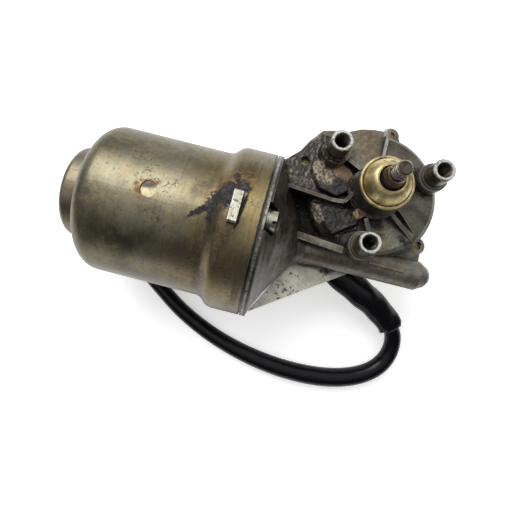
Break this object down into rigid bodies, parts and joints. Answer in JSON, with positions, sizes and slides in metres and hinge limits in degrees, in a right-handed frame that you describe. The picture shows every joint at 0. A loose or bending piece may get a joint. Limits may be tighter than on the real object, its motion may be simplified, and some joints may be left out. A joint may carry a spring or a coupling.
{
  "type": "wiper motor",
  "caption": "Windscreen wiper motor: a drawn cylindrical motor case on a ribbed die-cast worm gearbox, with a serrated output shaft, tapped mounting sleeves and a black cable.",
  "frame": {"origin": "on the output shaft's axis, in the plane of the mounting sleeves' free ends", "axes": "+Z out along the output shaft, +X from the motor case towards the closed end of the worm tube, +Y away from the motor's axis"},
  "size_m": [0.1723, 0.1316, 0.0836],
  "materials": {
    "case_zinc": "yellow zinc, dulled",
    "bronze": "sintered, oily",
    "plain_steel": "turned",
    "brass": "plain",
    "ferrite": "ground",
    "bright_steel": "bright zinc",
    "die_cast": "as cast, greasy",
    "black_moulding": "moulded",
    "yellow_zinc": "yellow zinc, pressed",
    "rubber": "moulded",
    "bright_zinc": "bright zinc, stained",
    "gasket_paper": "oiled paper",
    "laminate": "phenolic laminate",
    "carbon": "pressed carbon",
    "copper": "plain",
    "black_pvc": "extruded, slightly glossy",
    "core_steel": "stacked laminations",
    "enamel_copper": "enamelled wire",
    "dark_steel": "greasy, worn",
    "nylon": "moulded"
  },
  "bodies": {
    "housing": {"motor_case": "case_zinc", "rear_bearing_cap": "case_zinc", "rear_bush": "bronze", "bush_retainer": "plain_steel", "pole_plugs": "brass", "field_magnets": "ferrite", "magnet_clips": "plain_steel", "case_nut_plates": "bright_steel", "case_screws": "bright_steel", "case_screw_washers": "bright_steel", "gear_housing": "die_cast", "mounting_sleeves": "bright_steel", "centre_bush": "bronze", "worm_end_bush": "bronze", "thrust_ball": "bright_steel", "thrust_pad": "black_moulding", "upper_shaft_bush": "bronze", "lower_shaft_bush": "bronze", "dust_cup": "yellow_zinc", "shaft_seal": "rubber", "rear_cover": "bright_zinc", "cover_gasket": "gasket_paper", "cover_screws": "bright_steel", "brush_plate": "laminate", "brush_plate_screws": "bright_steel", "brush_boxes": "brass", "carbon_brushes": "carbon", "brush_springs": "plain_steel", "park_switch_base": "black_moulding", "park_switch_fingers": "copper", "cable_gland": "rubber", "cable": "black_pvc", "cable_outer_sleeve": "black_pvc", "connector_shell": "black_moulding", "connector_terminals": "brass"},
    "armature": {"armature_shaft": "plain_steel", "armature_core": "core_steel", "armature_windings": "enamel_copper", "commutator": "copper"},
    "output": {"output_shaft": "dark_steel", "worm_wheel": "nylon", "wheel_hub": "plain_steel", "park_disc": "copper", "retaining_clip": "plain_steel", "tail_washer": "plain_steel", "thrust_washer": "bronze"}
  },
  "joints": [
    {"name": "armature_spin", "type": "hinge", "parent": "housing", "child": "armature", "pos_m": [0, -0.0298, -0.0237], "axis": [1, 0, 0], "continuous": true},
    {"name": "output_spin", "type": "hinge", "parent": "housing", "child": "output", "pos_m": [0, 0, 0], "axis": [0, 0, 1], "continuous": true}
  ],
  "couplings": [
    {"joint": "output_spin", "follows": "armature_spin", "ratio": -0.017241}
  ]
}
